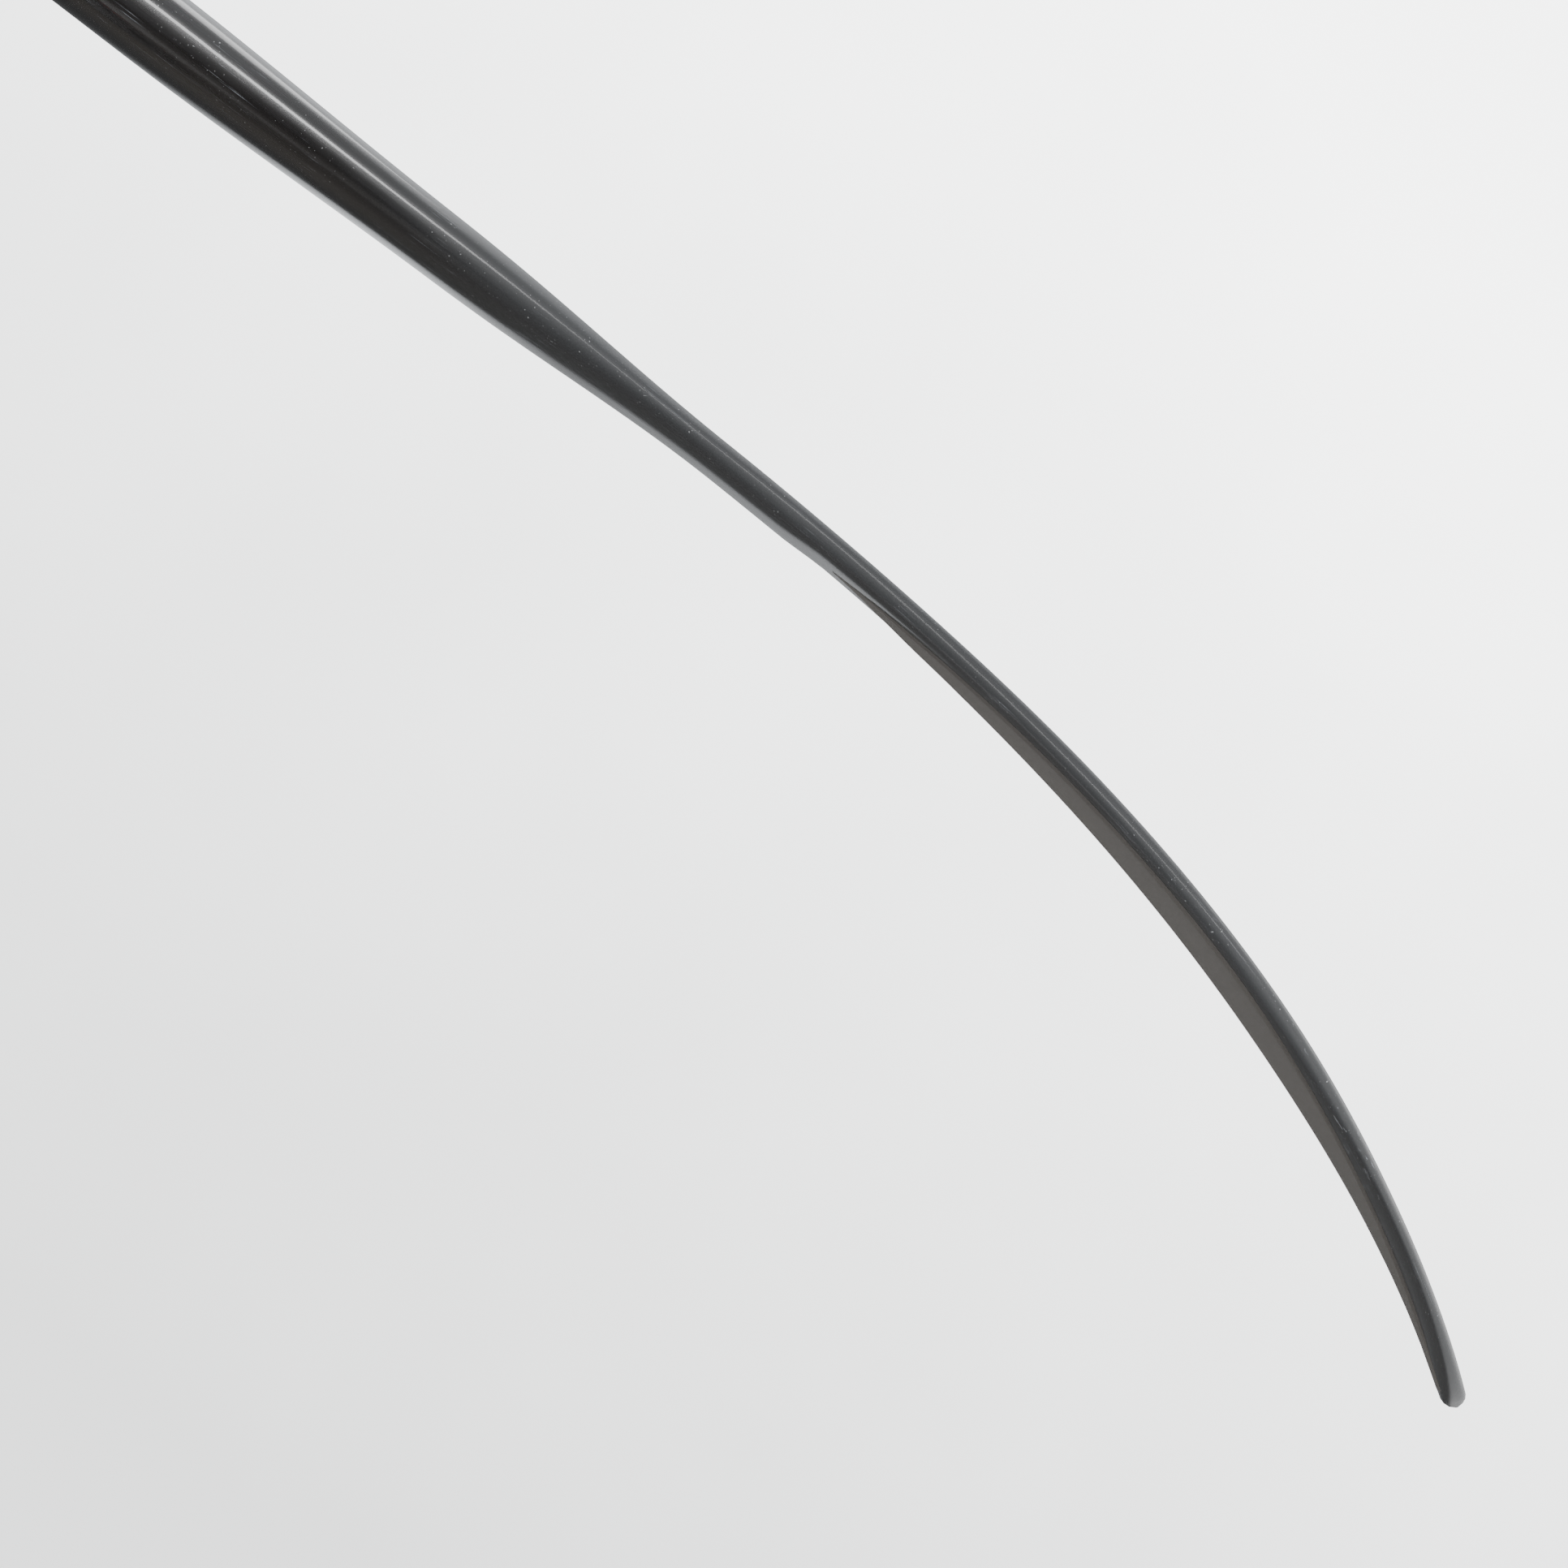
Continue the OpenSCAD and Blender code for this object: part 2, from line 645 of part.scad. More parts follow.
// Involute gear outline
base_r = gear_pitch_r * cos(pressure);
tip_r = gear_pitch_r + addendum;
root_r = gear_pitch_r - dedendum;
function involute(q) = tan(q) * 180 / PI - q;
function flank(r) =
    ((pitch / 2 - backlash) / 2 / gear_pitch_r) * 180 / PI
    + involute(pressure) - involute(acos(min(1, base_r / r)));
flank_steps = 5;
flank_radii = [for (i = [0:flank_steps]) base_r + (tip_r - base_r) * i / flank_steps];
function polar(r, q) = [r * cos(q), r * sin(q)];
gear_outline = [for (k = [0:gear_teeth - 1]) let (q = 180 + 360 * k / gear_teeth)
    each concat(
        [polar(root_r, q - flank(base_r))],
        [for (r = flank_radii) polar(r, q - flank(r))],
        [for (i = [flank_steps:-1:0]) polar(flank_radii[i], q + flank(flank_radii[i]))],
        [polar(root_r, q + flank(base_r))])];

module ratchet_gear() {
    color(steel)
    translate([gear_x, 0, gear_z]) rotate([90, 0, 0])
    difference() {
        translate([0, 0, gear_y0]) linear_extrude(gear_w) polygon(gear_outline);
        translate([0, 0, -gear_w]) cylinder(r = axle_r + run_gap, h = 2 * gear_w, $fn = 48);
    }
}

axle_end = -gear_y0 + 0.4;
module gear_axle() {
    color(steel)
    button_axis() translate([0, 0, room_y0 - axle_seat])
    cylinder(r = axle_r, h = axle_end - room_y0 + axle_seat, $fn = 48);
}

module one_way_clutch() {
    color(black_alloy)
    button_axis() translate([0, 0, gear_y0 - clutch_w - 0.4])
    difference() {
        union() {
            cylinder(r = clutch_r, h = clutch_w, $fn = 64);
            translate([0, -clutch_key / 2, 0]) cube([gear_room_r - 0.3, clutch_key, clutch_w]);
        }
        translate([0, 0, -1]) cylinder(r = axle_r, h = clutch_w + 2, $fn = 48);
    }
}

module release_button() {
    stem_start = axle_end + 0.6 + button_travel;
    head_edge = 0.8;
    dish_r = 4.5;
    color(red_alloy)
    button_axis()
    difference() {
        union() {
            translate([0, 0, stem_start]) cylinder(r = stem_r, h = head_in - stem_start + 1, $fn = 48);
            translate([0, 0, head_in]) cylinder(r = button_r, h = head_t - head_edge, $fn = 64);
            translate([0, 0, head_out - head_edge])
            cylinder(r1 = button_r, r2 = button_r - head_edge, h = head_edge, $fn = 64);
        }
        translate([0, 0, head_out - 0.5]) cylinder(r1 = dish_r, r2 = dish_r + 1, h = 0.6, $fn = 48);
    }
}

// The return spring, drawn as a row of closed coils
module button_spring() {
    step = (head_in - spring_seat - 2 * wire_r) / (spring_coils - 1);
    color(steel)
    button_axis()
    for (k = [0:spring_coils - 1])
        translate([0, 0, spring_seat + wire_r + k * step])
        rotate_extrude($fn = 48) translate([spring_out_r - wire_r, 0]) circle(r = wire_r, $fn = 16);
}

module button_bezel() {
    bezel_out = head_out - button_travel - 1;
    bezel_in = spring_seat - 6;
    head_gap_r = 0.35;
    color(black_alloy)
    difference() {
        button_axis() translate([0, 0, bezel_in]) cylinder(r = bezel_r, h = bezel_out - bezel_in, $fn = 64);
        button_axis() translate([0, 0, bezel_in - 1])
        cylinder(r = button_r + head_gap_r, h = bezel_out, $fn = 64);
        translate([0, 0, lock_bottom - 1]) cylinder(r = lock_r, h = lock_h + 2, $fn = 96);
    }
}

// ---- Liner and pin ----
cap_z = 0.6;
pin_top = cap_z;
half_gap = pitch / 4 + backlash / 2;
slope = tan(pressure);
teeth_low = gear_z - 2 * pitch;
pin_root_r = pin_pitch_r - dedendum;
nose_z = teeth_low - pitch - 1.6;
pin_outline = concat(
    [[0, pin_top + cap_t - 0.6], [4, pin_top + cap_t - 0.6], [4, pin_top], [pin_r, pin_top]],
    [for (k = [pin_teeth - 1:-1:0]) let (z = teeth_low + k * pitch)
        each [[pin_r, z + half_gap + addendum * slope],
              [pin_root_r, z + half_gap - dedendum * slope],
              [pin_root_r, z - half_gap + dedendum * slope],
              [pin_r, z - half_gap - addendum * slope]]],
    [[pin_r, nose_z + 2], [pin_r - 1.6, nose_z], [0, nose_z]]);

module lock_pin() {
    color(steel) rotate_extrude($fn = 64) polygon(pin_outline);
}

module liner_cap() {
    color(alloy)
    translate([0, 0, cap_z])
    difference() {
        union() {
            cylinder(r1 = cap_r - 2, r2 = cap_r, h = 2, $fn = 64);
            translate([0, 0, 2]) cylinder(r = cap_r, h = cap_t - 2, $fn = 64);
        }
        translate([0, 0, -1]) cylinder(r = 4, h = cap_t + 0.4, $fn = 48);
    }
}

band_low = brim_side + inner_lip + 6;
liner_levels = [9, 16, 26, 42, 66, 100, 140, 180, band_low, liner_top - 2];
liner_floor = cap_z + cap_t;
floor_t = 7;
function liner_ring(z, inset) =
    [for (j = [0:around - 1]) let (q = 360 * j / around, r = cavity_r(z, q) - liner_gap - inset)
        [r * cos(q), r * sin(q), z]];
module gel_liner() {
    color(gel)
    skin(concat(
        [ring_at(liner_floor, seat_r - 2)],
        [for (z = liner_levels) liner_ring(z, 0)],
        [liner_ring(liner_top, 1.5), liner_ring(liner_top, liner_t - 1.5)],
        [for (i = [len(liner_levels) - 1:-1:2]) liner_ring(liner_levels[i], liner_t)],
        [ring_at(liner_floor + floor_t, seat_r - 5)]));
}

// Knitted band bonded round the liner's top
band_t = 0.8;
band_levels = [band_low, (band_low + liner_top) / 2, liner_top - 2];
module cuff_band() {
    color(knit)
    skin(concat(
        [for (z = band_levels) liner_ring(z, -0.05)],
        [for (i = [2:-1:0]) liner_ring(band_levels[i], -band_t)]), band = true);
}

blade();
dorsal_ply();
clamp_plate();
blade_bolts();
bolt_washers();
slot_nuts();
slot_rail();
rail_screws();
mount_fairing();
outer_socket();
inner_socket();
lock_body();
lock_cover();
cover_screws();
lock_seal();
ratchet_gear();
gear_axle();
one_way_clutch();
release_button();
button_spring();
button_bezel();
lock_pin();
liner_cap();
gel_liner();
cuff_band();
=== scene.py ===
import math

import bpy
from mathutils import Matrix, Vector


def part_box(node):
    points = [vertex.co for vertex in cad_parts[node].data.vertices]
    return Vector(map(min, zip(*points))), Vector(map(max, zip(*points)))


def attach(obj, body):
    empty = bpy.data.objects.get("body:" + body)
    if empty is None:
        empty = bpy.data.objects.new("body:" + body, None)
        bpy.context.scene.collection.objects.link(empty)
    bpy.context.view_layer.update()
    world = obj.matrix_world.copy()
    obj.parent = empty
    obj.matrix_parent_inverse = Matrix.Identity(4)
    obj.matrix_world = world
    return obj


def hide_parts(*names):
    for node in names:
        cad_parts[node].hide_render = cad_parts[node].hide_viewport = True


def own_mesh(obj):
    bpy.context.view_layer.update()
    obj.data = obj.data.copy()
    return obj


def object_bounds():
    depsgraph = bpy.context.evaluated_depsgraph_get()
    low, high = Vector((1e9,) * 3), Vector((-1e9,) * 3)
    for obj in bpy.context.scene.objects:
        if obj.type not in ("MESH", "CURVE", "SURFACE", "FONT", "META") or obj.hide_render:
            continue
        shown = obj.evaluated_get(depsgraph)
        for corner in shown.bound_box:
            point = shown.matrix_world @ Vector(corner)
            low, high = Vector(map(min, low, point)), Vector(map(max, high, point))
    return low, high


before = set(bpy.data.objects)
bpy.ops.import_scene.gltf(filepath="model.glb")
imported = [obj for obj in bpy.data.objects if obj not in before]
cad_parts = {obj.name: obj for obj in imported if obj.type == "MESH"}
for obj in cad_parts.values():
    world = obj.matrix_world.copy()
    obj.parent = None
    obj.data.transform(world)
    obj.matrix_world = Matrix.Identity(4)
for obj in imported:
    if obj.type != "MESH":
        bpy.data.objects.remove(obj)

cad_low, cad_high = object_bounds()
scene = bpy.context.scene


# ---- Camera ----
# A long lens looks at the inner side of the leg, level with the blade's shank,
# turned so that the blade runs across the frame from corner to corner.
blade_low, blade_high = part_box("blade")
eye = Vector((blade_high.x - 0.0275, 0.9334, blade_low.z + 0.1269))
away = Vector((0.03372, 0.99859, -0.04097)).normalized()
upward = Vector((-0.91795, 0.04716, 0.39389))
sideways = upward.cross(away).normalized()
upward = away.cross(sideways)
camera_data = bpy.data.cameras.new("long_lens")
camera_data.lens = 111.8
camera_data.sensor_width = 36
camera_data.clip_start = 0.01
camera = bpy.data.objects.new("long_lens", camera_data)
scene.collection.objects.link(camera)
facing = Matrix((sideways, upward, away)).transposed().to_4x4()
camera.matrix_world = Matrix.Translation(eye) @ facing
scene.camera = camera


# ---- Studio: backdrop, lights and floor ----
# A pale paper sweep, a little lighter up and to the right, with soft boxes above
# and behind the leg and darkness on the camera's side, so that the blade reads dark.
class Tone:
    """A value or colour on a surface. Arithmetic on it adds Math nodes."""

    def __init__(self, tree, socket=None):
        self.tree, self.socket = tree, socket

    def add(self, kind, settings=None, sockets=None, out=0):
        """Adds any node, with its settings and its inputs, and gives one output."""
        node = self.tree.nodes.new("ShaderNode" + kind)
        for name, value in (settings or {}).items():
            setattr(node, name, value)
        for name, value in (sockets or {}).items():
            if isinstance(value, Tone):
                self.tree.links.new(value.socket, node.inputs[name])
            else:
                node.inputs[name].default_value = value
        return Tone(self.tree, node.outputs[out] if node.outputs else None)

    def maths(self, operation, *terms):
        return self.add("Math", {"operation": operation}, dict(enumerate(terms)))

    def __add__(self, other):
        return self.maths("ADD", self, other)

    def __sub__(self, other):
        return self.maths("SUBTRACT", self, other)

    def __rsub__(self, other):
        return self.maths("SUBTRACT", other, self)

    def __mul__(self, other):
        return self.maths("MULTIPLY", self, other)

    def __gt__(self, other):
        return self.maths("GREATER_THAN", self, other)

    __radd__ = __add__
    __rmul__ = __mul__

    def rise(self, low, high):
        """0 below low, 1 above high, smooth between."""
        return self.add("MapRange", {"interpolation_type": "SMOOTHSTEP"},
                        {"Value": self, "From Min": low, "From Max": high})

    def mix(self, first, second):
        """first where this value is 0, second where it is 1."""
        return self.add("Mix", {"data_type": "RGBA"}, {0: self, 6: first, 7: second}, 2)

    def parts(self):
        split = self.add("SeparateXYZ", None, {0: self}).socket.node
        return [Tone(self.tree, socket) for socket in split.outputs]


def grey(value):
    """A neutral linear colour."""
    return (value, value, value, 1)


world = bpy.data.worlds.new("paper_sweep")
scene.world = world
world.use_nodes = True
world.node_tree.nodes.clear()
sky = Tone(world.node_tree)
toward = sky.add("TexCoord", None, None, "Generated")


def along(direction):
    return toward.add("VectorMath", {"operation": "DOT_PRODUCT"},
                      {0: toward, 1: direction}, "Value")


# The paper's brightness is a power of two, which rises up and to the right
cloud = toward.add("TexNoise", None, {"Vector": toward, "Scale": 14, "Detail": 3}) - 0.5
paper = 1.81 + 2.64 * along(sideways) + 3.14 * along(upward) + 0.25 * cloud
paper = paper.maths("MINIMUM", paper.maths("MAXIMUM", paper, 1.1), 2.5)
paper = paper.maths("POWER", 2, paper)
paper_colour = paper.add("CombineColor", None, {0: paper * 0.985, 1: paper, 2: paper})
# What the leg mirrors: pale paper far behind it, grey on the heel's side, and near
# darkness on the camera's and the toe's sides
back_side = Vector((-0.9, 0, -0.4)).normalized()
cool = (0.05 + 3.0 * along(-away).rise(0.975, 0.9995)
        + 1.0 * along(back_side).rise(-0.15, 0.35))
warm = 0.16 * along(-back_side).rise(0.2, 0.9)
seen = toward.add("LightPath", None, None, "Is Camera Ray")
backdrop = toward.add("Background", None, {"Color": paper_colour})
studio = toward.add("Background", None, {"Color": toward.add(
    "CombineColor", None, {0: cool * 0.94 + warm, 1: cool * 0.97 + warm * 0.9,
                           2: cool + warm * 0.8})})
shown = toward.add("MixShader", None, {0: seen, 1: studio, 2: backdrop})
toward.add("OutputWorld", None, {"Surface": shown})


def soft_box(name, place, aim, size, power):
    light = bpy.data.lights.new(name, "AREA")
    light.shape, light.size, light.size_y = "RECTANGLE", size[0], size[1]
    light.energy = power
    lamp = bpy.data.objects.new(name, light)
    scene.collection.objects.link(lamp)
    lamp.location = place
    lamp.rotation_euler = (Vector(aim) - Vector(place)).to_track_quat("-Z", "Y").to_euler()


leg_middle = (cad_low + cad_high) / 2
shank_middle = Vector((-0.07, 0, blade_low.z + 0.28))
strip_side = Vector((-0.347, 0.934, -0.089))
soft_box("strip_beside_camera", shank_middle + strip_side * 1.2, shank_middle, (0.10, 1.4), 11)
soft_box("overhead", (0.5, -0.4, 1.7), leg_middle, (1.4, 1.4), 45)
soft_box("toe_side", (1.5, 0.9, 1.7), leg_middle, (1.0, 1.4), 14)
soft_box("heel_side", (-1.6, -0.9, 0.5), leg_middle, (1.0, 1.4), 18)

# The floor lies well below the toe and fades out at its rim
bpy.ops.object.select_all(action="DESELECT")
floor_z = cad_low.z - 0.25
bpy.ops.mesh.primitive_circle_add(vertices=96, radius=1.5, fill_type="NGON",
                                  location=(0, 0, 0))
floor = bpy.context.object
floor.name = "studio_floor"
floor.data.transform(Matrix.Translation((0, 0, floor_z)))
floor_paint = bpy.data.materials.new("floor_paper")
floor_paint.use_nodes = True
floor_paint.node_tree.nodes.clear()
paper_floor = Tone(floor_paint.node_tree)
spot = paper_floor.add("TexCoord", None, None, "Object")
far = spot.add("VectorMath", {"operation": "LENGTH"}, {0: spot.add(
    "VectorMath", {"operation": "MULTIPLY"}, {0: spot, 1: (1, 1, 0)})}, "Value")
sheen = spot.add("BsdfDiffuse", None, {"Color": grey(0.86)})
glow = spot.add("Emission", None, {"Color": grey(0.86), "Strength": 1.9})
matt = spot.add("AddShader", None, {0: sheen, 1: glow})
nothing = spot.add("BsdfTransparent")
spot.add("OutputMaterial", None, {"Surface": spot.add(
    "MixShader", None, {0: far.rise(0.7, 1.45), 1: matt, 2: nothing})})
floor.data.materials.append(floor_paint)


# ---- Blade ----
# The running blade: carbon cloth laid up in a mould, thin and wide at the toe, narrow
# and oval at the waist, thick in the shank, and bowed up to a flat mounting end.
# Its edges and faces are lacquered; the forefoot and waist have gone satin with use.
MM = 0.001
toe_angle, curve_turn, curve_len = 40, 35.6, 286
shank_len, bow_r, mount_lean, mount_len = 124, 90, 5, 130
bow_at = curve_len + shank_len
bow_angle = 90 + mount_lean - toe_angle - curve_turn
bow_len = math.radians(bow_angle) * bow_r
flat_at = bow_at + bow_len
blade_len = flat_at + mount_len
forefoot_w, forefoot_at, waist_w, waist_at = 75, 95, 40, 215
shank_w, mount_w = 48, 60
toe_t, forefoot_t, waist_t, shank_t, bow_t, mount_t = 4.6, 5.4, 6.4, 11.8, 15.4, 13
toe_rise, waist_rise, shank_rise, bow_rise = (15, 80), (170, 240), (232, 300), (290, 375)
toe_power, forefoot_power, shank_power, mount_power = 3, 5.6, 3.1, 8
nose_power = 1.8
ply_t, ply_end = 0.6, 202


def rise(value, low, high):
    share = max(0.0, min(1.0, (value - low) / (high - low)))
    return share * share * (3 - 2 * share)


def heading(a):
    return math.radians(
        toe_angle + curve_turn * (1 - (1 - min(a, curve_len) / curve_len) ** 2)
        + bow_angle * max(0, min(1, (a - bow_at) / bow_len)))


def thickness(a):
    return (toe_t + (forefoot_t - toe_t) * rise(a, *toe_rise)
            + (waist_t - forefoot_t) * rise(a, *waist_rise)
            + (shank_t - waist_t) * rise(a, *shank_rise)
            + (bow_t - shank_t) * rise(a, *bow_rise)
            + (mount_t - bow_t) * rise(a, bow_at, flat_at))


def half_width(a):
    if a < forefoot_at:
        share = max(a, 0.25) / forefoot_at
        return forefoot_w / 2 * (1 - (1 - share) ** nose_power) ** (1 / nose_power)
    share = min(1, (a - forefoot_at) / (waist_at - forefoot_at))
    swing = (1 - math.cos(math.pi * share)) / 2
    return (forefoot_w / 2 - (forefoot_w - waist_w) / 2 * swing
            + (shank_w - waist_w) / 2 * rise(a, waist_at, shank_rise[1])
            + (mount_w - shank_w) / 2 * rise(a, bow_at, flat_at))


def squareness(a):
    """The power of the section's superellipse: 2 is an oval, and more is squarer."""
    return (toe_power + (forefoot_power - toe_power) * rise(a, 40, forefoot_at)
            + (shank_power - forefoot_power) * rise(a, 170, 250)
            + (mount_power - shank_power) * rise(a, bow_at, flat_at))


fine_step = 0.5
path = [(0.0, 0.0)]
for step in range(int(blade_len / fine_step) + 2):
    turn = heading((step + 0.5) * fine_step)
    path.append((path[-1][0] - math.cos(turn) * fine_step,
                 path[-1][1] + math.sin(turn) * fine_step))


def path_at(a):
    step = int(a / fine_step)
    share = a / fine_step - step
    return [path[step][k] * (1 - share) + path[step + 1][k] * share for k in (0, 1)]


def tip_round(a):
    """How much of its thickness the section has kept, where the tip is rounded over."""
    tip_r = toe_t / 2
    return math.sqrt(max(0.02, 1 - (1 - a / tip_r) ** 2)) if a < tip_r else 1


# The tip's place is what brings the path's lowest and foremost points to the CAD blade's
near_tip = [a / 20 for a in range(200)]
lowest = min(path_at(a)[1] - math.cos(heading(a)) * thickness(a) / 2 * tip_round(a)
             for a in near_tip)
furthest = max(path_at(a)[0] + math.sin(heading(a)) * thickness(a) / 2 * tip_round(a)
               for a in near_tip)
tip_x = blade_high.x / MM - furthest
tip_z = blade_low.z / MM - lowest


def blade_point(a, across, lift):
    """Metres, for a distance from the tip, a distance sideways and one off the middle."""
    x, z = path_at(a)
    turn = heading(a)
    return Vector(((tip_x + x + lift * math.sin(turn)) * MM, across * MM,
                   (tip_z + z + lift * math.cos(turn)) * MM))


def bulge(value, power):
    return math.copysign(abs(value) ** (2 / power), value)


def clear_selection():
    if bpy.context.object and bpy.context.object.mode != "OBJECT":
        bpy.ops.object.mode_set(mode="OBJECT")
    bpy.ops.object.select_all(action="DESELECT")


def face_outwards(piece, cap_ends=False):
    """Turns a piece's faces outwards, after closing its open ends if that is asked."""
    clear_selection()
    bpy.context.view_layer.objects.active = piece
    piece.select_set(True)
    bpy.ops.object.mode_set(mode="EDIT")
    if cap_ends:
        bpy.ops.mesh.select_all(action="SELECT")
        bpy.ops.mesh.remove_doubles(threshold=0.00001)
        bpy.ops.mesh.select_all(action="DESELECT")
        bpy.ops.mesh.select_mode(type="EDGE")
        bpy.ops.mesh.select_non_manifold()
        bpy.ops.mesh.edge_face_add()
    bpy.ops.mesh.select_all(action="SELECT")
    bpy.ops.mesh.normals_make_consistent(inside=False)
    bpy.ops.object.mode_set(mode="OBJECT")


def woven_skin(name, rows, columns, place, closed):
    """A grid sheet laid on place(row, column), with the two shares as its UV map."""
    clear_selection()
    bpy.ops.mesh.primitive_grid_add(x_subdivisions=rows, y_subdivisions=columns, size=1)
    piece = bpy.context.object
    piece.name = piece.data.name = name
    mesh = piece.data
    shares = [(v.co.x + 0.5, v.co.y + 0.5) for v in mesh.vertices]
    uv = mesh.uv_layers[0]
    for loop in mesh.loops:
        u, v = shares[loop.vertex_index]
        uv.data[loop.index].uv = place(u, v)[1]
    for vertex, (u, v) in zip(mesh.vertices, shares):
        vertex.co = place(u, v)[0]
    face_outwards(piece, closed)
    return piece


def smooth(piece, angle=40):
    clear_selection()
    bpy.context.view_layer.objects.active = piece
    piece.select_set(True)
    bpy.ops.object.shade_smooth_by_angle(angle=math.radians(angle))
    piece.select_set(False)


def station(share):
    """Stations close up towards the tip."""
    return blade_len * share ** 1.35


def ply_recess(a):
    """The front is let in for the ply, from just behind the tip to just past its point."""
    return ply_t * rise(a, 3, 24) * (1 - rise(a, ply_end + 2, ply_end + 14))


def blade_skin(u, v):
    a = station(u)
    round_off = tip_round(a)
    turn = math.tau * v - math.pi
    half, n = half_width(a), squareness(a)
    lift = thickness(a) / 2 * round_off
    if math.sin(turn) > 0:
        lift -= ply_recess(a) * round_off
    return (blade_point(a, half * bulge(math.cos(turn), n), lift * bulge(math.sin(turn), n)),
            (a * MM, turn * 0.01))


blade = woven_skin("carbon_blade", 190, 64, blade_skin, True)
smooth(blade, 50)


def new_finish(name):
    material = bpy.data.materials.new(name)
    material.use_nodes = True
    material.node_tree.nodes.clear()
    return material, Tone(material.node_tree)


def close_finish(tone, sockets):
    shader = tone.add("BsdfPrincipled", None, sockets)
    tone.add("OutputMaterial", None, {"Surface": shader})


def scaled(coordinates, sizes):
    return coordinates.add("VectorMath", {"operation": "MULTIPLY"}, {0: coordinates, 1: sizes})


def noise(coordinates, scale, detail=2.0, roughness=0.5):
    return coordinates.add("TexNoise", None, {
        "Vector": coordinates, "Scale": scale, "Detail": detail, "Roughness": roughness})


def bump(height, distance, strength=1.0):
    return height.add("Bump", None, {"Height": height, "Distance": distance, "Strength": strength})


carbon, tone = new_finish("lacquered_carbon")
place = tone.add("TexCoord", None, None, "Object")
strip = tone.add("UVMap", {"uv_map": "UVMap"})
length_wise = strip.parts()[0]
lengthwise_stretch = scaled(strip, (14, 900, 1))
streaks = noise(lengthwise_stretch, 1.0, 4, 0.62)
fine_streaks = noise(scaled(strip, (45, 2600, 1)), 1.0, 3, 0.6)
scratches = fine_streaks.rise(0.61, 0.69) * noise(place, 60, 2).rise(0.48, 0.62)
cloudy = noise(place, 38, 4, 0.6)
dust = noise(place, 2400, 1).rise(0.735, 0.77) * noise(place, 110, 2).rise(0.42, 0.6)
satin = 1 - length_wise.rise(0.262, 0.335)
toe_wear = 1 - length_wise.rise(0.02, 0.16)
scuffs = (noise(scaled(strip, (210, 520, 1)), 1.0, 3, 0.7).rise(0.60, 0.68)
          * noise(place, 42, 2).rise(0.46, 0.58)) * toe_wear
base = cloudy.mix((0.006, 0.0055, 0.0055, 1), (0.013, 0.0118, 0.0115, 1))
base = (streaks.rise(0.45, 0.75) * 0.4).mix(base, (0.026, 0.026, 0.028, 1))
base = (satin * 0.55).mix(base, (0.026, 0.029, 0.032, 1))
base = (scratches * 0.6).mix(base, (0.22, 0.24, 0.27, 1))
base = (scuffs * 0.5).mix(base, (0.30, 0.32, 0.35, 1))
base = (dust * 0.75).mix(base, (0.42, 0.43, 0.44, 1))
gloss = 0.16 + 0.30 * satin + 0.12 * cloudy + 0.1 * streaks + 0.2 * scuffs + 0.3 * dust
relief = streaks * 0.6 + cloudy * 0.6 + scratches * 0.5
close_finish(tone, {
    "Base Color": base, "Roughness": gloss, "Specular IOR Level": 0.5,
    "Coat Weight": 0.6 - 0.5 * satin, "Coat Roughness": 0.07,
    "Normal": bump(relief, 0.00006, 0.5)})
blade.data.materials.append(carbon)
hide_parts("blade")
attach(blade, "blade")


# ---- Matt ply ----
# A thin ply of finer cloth bonded over the front of the forefoot, from just behind the
# tip to a point at the waist. It is left matt, so that it reads warm grey.
ply_start, ply_w, ply_stub = 4, forefoot_w - 4, 0.12
sanded_w, sanded_len, film_t = 0.9, 24, 0.03
bedded_t = 0.7


def ply_half_width(a):
    if a < forefoot_at:
        return ply_w / 2 * (ply_stub + (1 - ply_stub) * rise(a, 0, forefoot_at))
    share = (a - forefoot_at) / (ply_end - forefoot_at)
    return ply_w / 2 * max(0.01, 1 - share ** 1.6) ** 0.8


def crown(a, across):
    n = squareness(a)
    return ((thickness(a) / 2 - ply_recess(a))
            * (1 - min(1, abs(across) / half_width(a)) ** n) ** (1 / n))


def ply_skin(u, v):
    """The ply's outer face. Its border is sanded down to the blade all the way round."""
    a = ply_start + (ply_end - ply_start) * u
    half = ply_half_width(a)
    across = half * -math.cos(math.pi * v)
    border = (min(1, (half - abs(across)) / sanded_w)
              * (1 - rise(a, ply_end - sanded_len, ply_end)))
    lift = film_t + (ply_recess(a) - film_t) * border
    return blade_point(a, across, crown(a, across) + lift), (a * MM, across * MM)


ply = woven_skin("forefoot_ply", 160, 40, ply_skin, False)


def add_modifier(piece, kind, **settings):
    clear_selection()
    bpy.context.view_layer.objects.active = piece
    piece.select_set(True)
    modifier = piece.modifiers.new(kind.lower(), kind)
    for name, value in settings.items():
        setattr(modifier, name, value)
    bpy.ops.object.modifier_apply(modifier=modifier.name)
    piece.select_set(False)


